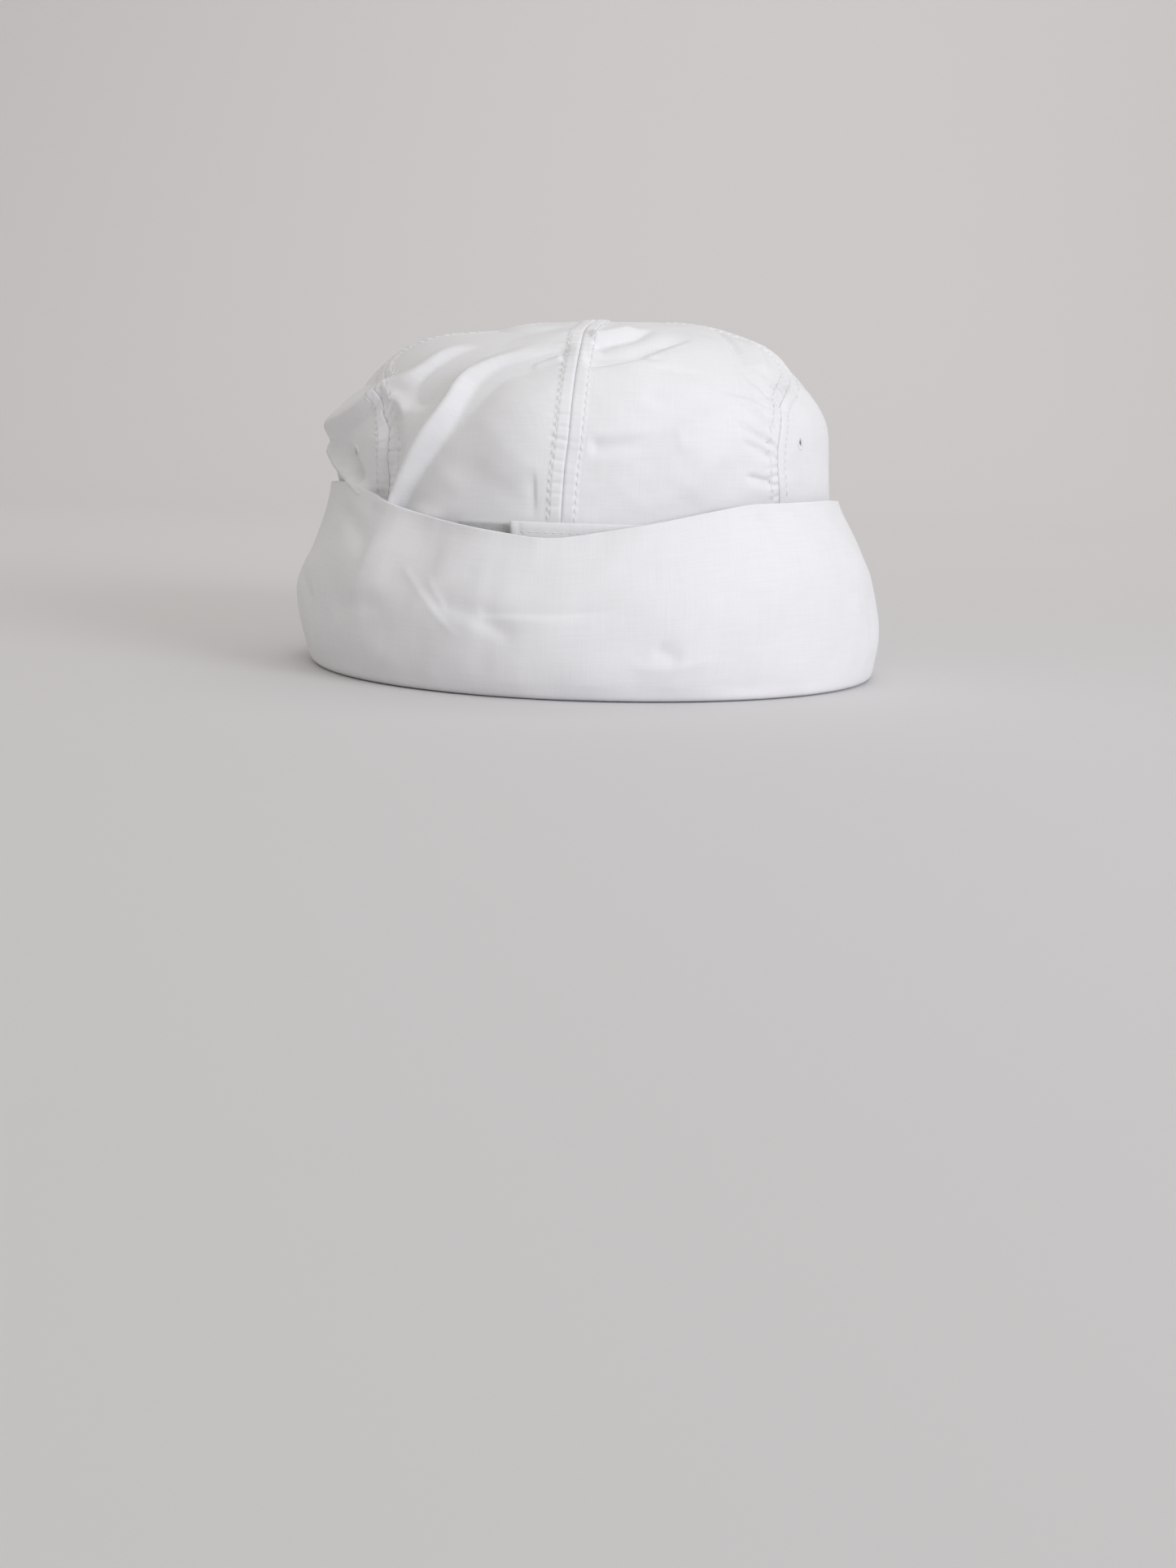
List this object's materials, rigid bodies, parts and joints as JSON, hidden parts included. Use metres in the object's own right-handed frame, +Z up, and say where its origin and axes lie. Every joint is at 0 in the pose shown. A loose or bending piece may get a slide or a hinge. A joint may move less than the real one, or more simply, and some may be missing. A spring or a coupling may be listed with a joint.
{
  "type": "bump cap",
  "caption": "Soft brimless six-panel bump cap with a turned-up cuff, a rear adjuster strap and a removable padded protective insert.",
  "frame": {"origin": "middle of the head opening, on the plane that the cuff's fold stands on", "axes": "+Z up out of the top of the crown, +Y to the front of the wearer, -Y to the rear where the adjuster strap is, +X to the wearer's right"},
  "size_m": [0.2186, 0.2424, 0.126],
  "materials": {
    "cover_cloth": "plain woven white cotton, soft and slightly creased",
    "seam_tape": "woven cotton tape",
    "eyelet_thread": "closely sewn thread",
    "sweatband_cloth": "towelling",
    "hook_tape": "moulded hooks",
    "loop_tape": "brushed loops",
    "shell_plastic": "fine moulded grain",
    "trim_rubber": "satin extruded rubber",
    "pad_foam": "closed-cell foam"
  },
  "bodies": {
    "insert": {"protective_shell": "shell_plastic", "edge_trim": "trim_rubber", "crown_pad": "pad_foam", "pad_right": "pad_foam", "pad_front": "pad_foam", "pad_left": "pad_foam", "pad_back": "pad_foam", "insert_hook_dots": "hook_tape"},
    "cover": {"crown_back_right": "cover_cloth", "crown_side_right": "cover_cloth", "crown_front_right": "cover_cloth", "crown_front_left": "cover_cloth", "crown_side_left": "cover_cloth", "crown_back_left": "cover_cloth", "eyelet_right": "eyelet_thread", "eyelet_left": "eyelet_thread", "seam_tape_centre": "seam_tape", "seam_tape_back_right": "seam_tape", "seam_tape_front_right": "seam_tape", "seam_tape_front_left": "seam_tape", "seam_tape_back_left": "seam_tape", "sweatband": "sweatband_cloth", "cuff_face": "cover_cloth", "cuff_facing": "cover_cloth", "strap_loop_tape": "loop_tape", "cover_loop_dots": "loop_tape"},
    "strap": {"adjuster_strap": "cover_cloth", "strap_hook_tape": "hook_tape"}
  },
  "joints": [
    {"name": "cover_lift", "type": "slide", "parent": "insert", "child": "cover", "axis": [0, 0, 1], "range_m": [0, 0.13]},
    {"name": "strap_slide", "type": "hinge", "parent": "cover", "child": "strap", "pos_m": [0, -0.01902, 0.048], "axis": [0, 0, -1], "range_deg": [0, 9]}
  ]
}
